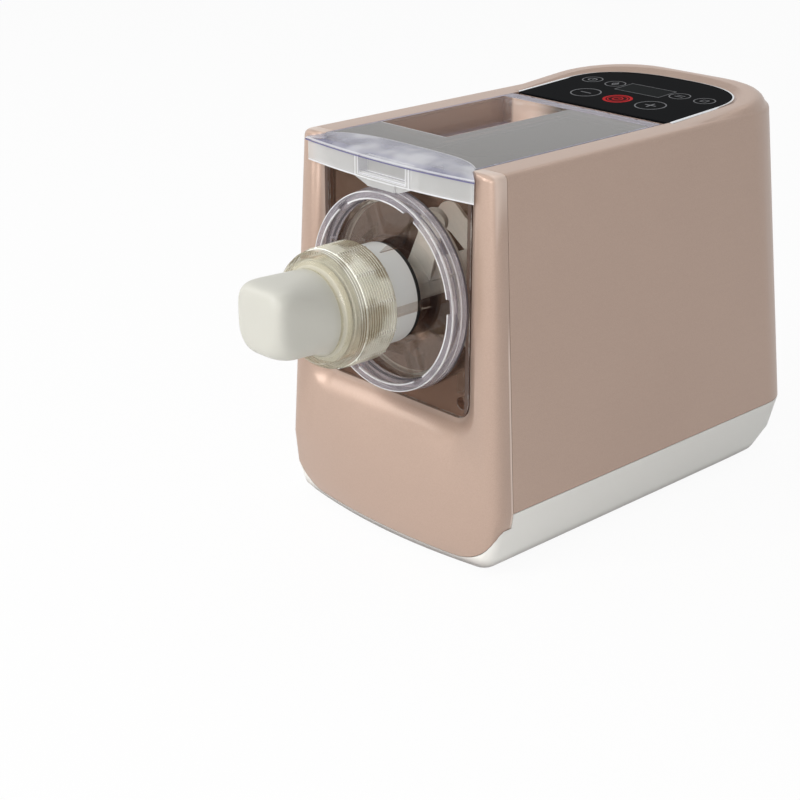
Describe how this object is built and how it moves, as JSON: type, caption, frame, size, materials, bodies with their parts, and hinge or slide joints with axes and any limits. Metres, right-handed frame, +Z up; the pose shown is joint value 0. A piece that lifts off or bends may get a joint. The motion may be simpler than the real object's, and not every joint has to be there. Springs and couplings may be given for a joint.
{
  "type": "electric pasta maker",
  "caption": "Tabletop electric pasta maker with a lidded clear mixing bowl, removable front cover, screw-on elbow nozzle, touch panel and geared drive.",
  "frame": {"origin": "centre of the object's footprint at the foot plane", "axes": "-Y towards the nozzle at the front, +X to the right seen from the front, +Z up"},
  "size_m": [0.206, 0.44, 0.2773],
  "materials": {
    "shell_paint": "satin champagne paint on moulded plastic",
    "base_white": "fine matt white",
    "frame_brown": "matt brown",
    "panel_glass": "glossy black back-printed glass",
    "bright_trim": "bright",
    "clear_plastic": "clear, slightly grey",
    "clear_nut": "clear with moulded grip lines",
    "white_plastic": "smooth white",
    "pale_seal": "soft pale silicone",
    "dark_seal": "soft black",
    "steel": "plain",
    "bearing_bronze": "plain",
    "gear_plastic": "natural moulded",
    "circuit_board": "green board",
    "black_plastic": "black moulded",
    "foot_rubber": "matt black"
  },
  "bodies": {
    "base": {"main_housing": "shell_paint", "front_fascia": "shell_paint", "base_tray": "base_white", "inner_frame": "frame_brown", "control_panel": "panel_glass", "panel_trim": "bright_trim", "touch_board": "circuit_board", "display_module": "black_plastic", "lid_hinge_pins": "steel", "lid_switch": "black_plastic", "mixing_bowl": "clear_plastic", "bowl_seal": "dark_seal", "shaft_bearings": "bearing_bronze", "middle_axle": "steel", "motor_can": "steel", "motor_end_cap": "black_plastic", "gearbox_housing": "black_plastic", "gearbox_cover": "black_plastic", "gearbox_screws": "steel", "power_board": "circuit_board", "cable_gland": "dark_seal", "base_screws": "steel", "rubber_feet": "foot_rubber"},
    "lid": {"lid": "clear_plastic", "lid_seal": "pale_seal"},
    "cover": {"front_cover": "clear_plastic", "cover_gasket": "pale_seal", "feed_barrel": "white_plastic", "barrel_seal": "dark_seal"},
    "nozzle": {"nozzle": "white_plastic", "shaping_disc": "white_plastic"},
    "nut": {"locking_nut": "clear_nut"},
    "drive": {"drive_shaft": "steel", "feed_screw": "white_plastic", "mixing_paddle": "white_plastic", "output_gear": "gear_plastic"},
    "middle": {"middle_gear": "gear_plastic"},
    "rotor": {"motor_pinion": "bearing_bronze", "motor_shaft": "steel", "cooling_fan": "black_plastic"}
  },
  "joints": [
    {"name": "lid_hinge", "type": "hinge", "parent": "base", "child": "lid", "pos_m": [0, 0.077, 0.2615], "axis": [-1, 0, 0], "range_deg": [0, 78]},
    {"name": "cover_slide", "type": "slide", "parent": "base", "child": "cover", "axis": [0, -1, 0], "range_m": [0, 0.09]},
    {"name": "nozzle_out", "type": "slide", "parent": "cover", "child": "nozzle", "axis": [0, -1, 0], "range_m": [0, 0.012]},
    {"name": "nut_turn", "type": "hinge", "parent": "nozzle", "child": "nut", "pos_m": [0, -0.157, 0.177], "axis": [0, -1, 0], "range_deg": [0, 1080]},
    {"name": "rotor_spin", "type": "hinge", "parent": "base", "child": "rotor", "pos_m": [0, 0.12, 0.0855], "axis": [0, 1, 0], "continuous": true},
    {"name": "middle_spin", "type": "hinge", "parent": "base", "child": "middle", "pos_m": [0, 0.11, 0.123], "axis": [0, 1, 0], "continuous": true},
    {"name": "drive_spin", "type": "hinge", "parent": "base", "child": "drive", "pos_m": [0, 0, 0.177], "axis": [0, 1, 0], "continuous": true}
  ],
  "couplings": [
    {"joint": "nozzle_out", "follows": "nut_turn", "m_per_rad": 0.000636},
    {"joint": "middle_spin", "follows": "rotor_spin", "ratio": -0.25},
    {"joint": "drive_spin", "follows": "rotor_spin", "ratio": 0.071429}
  ]
}
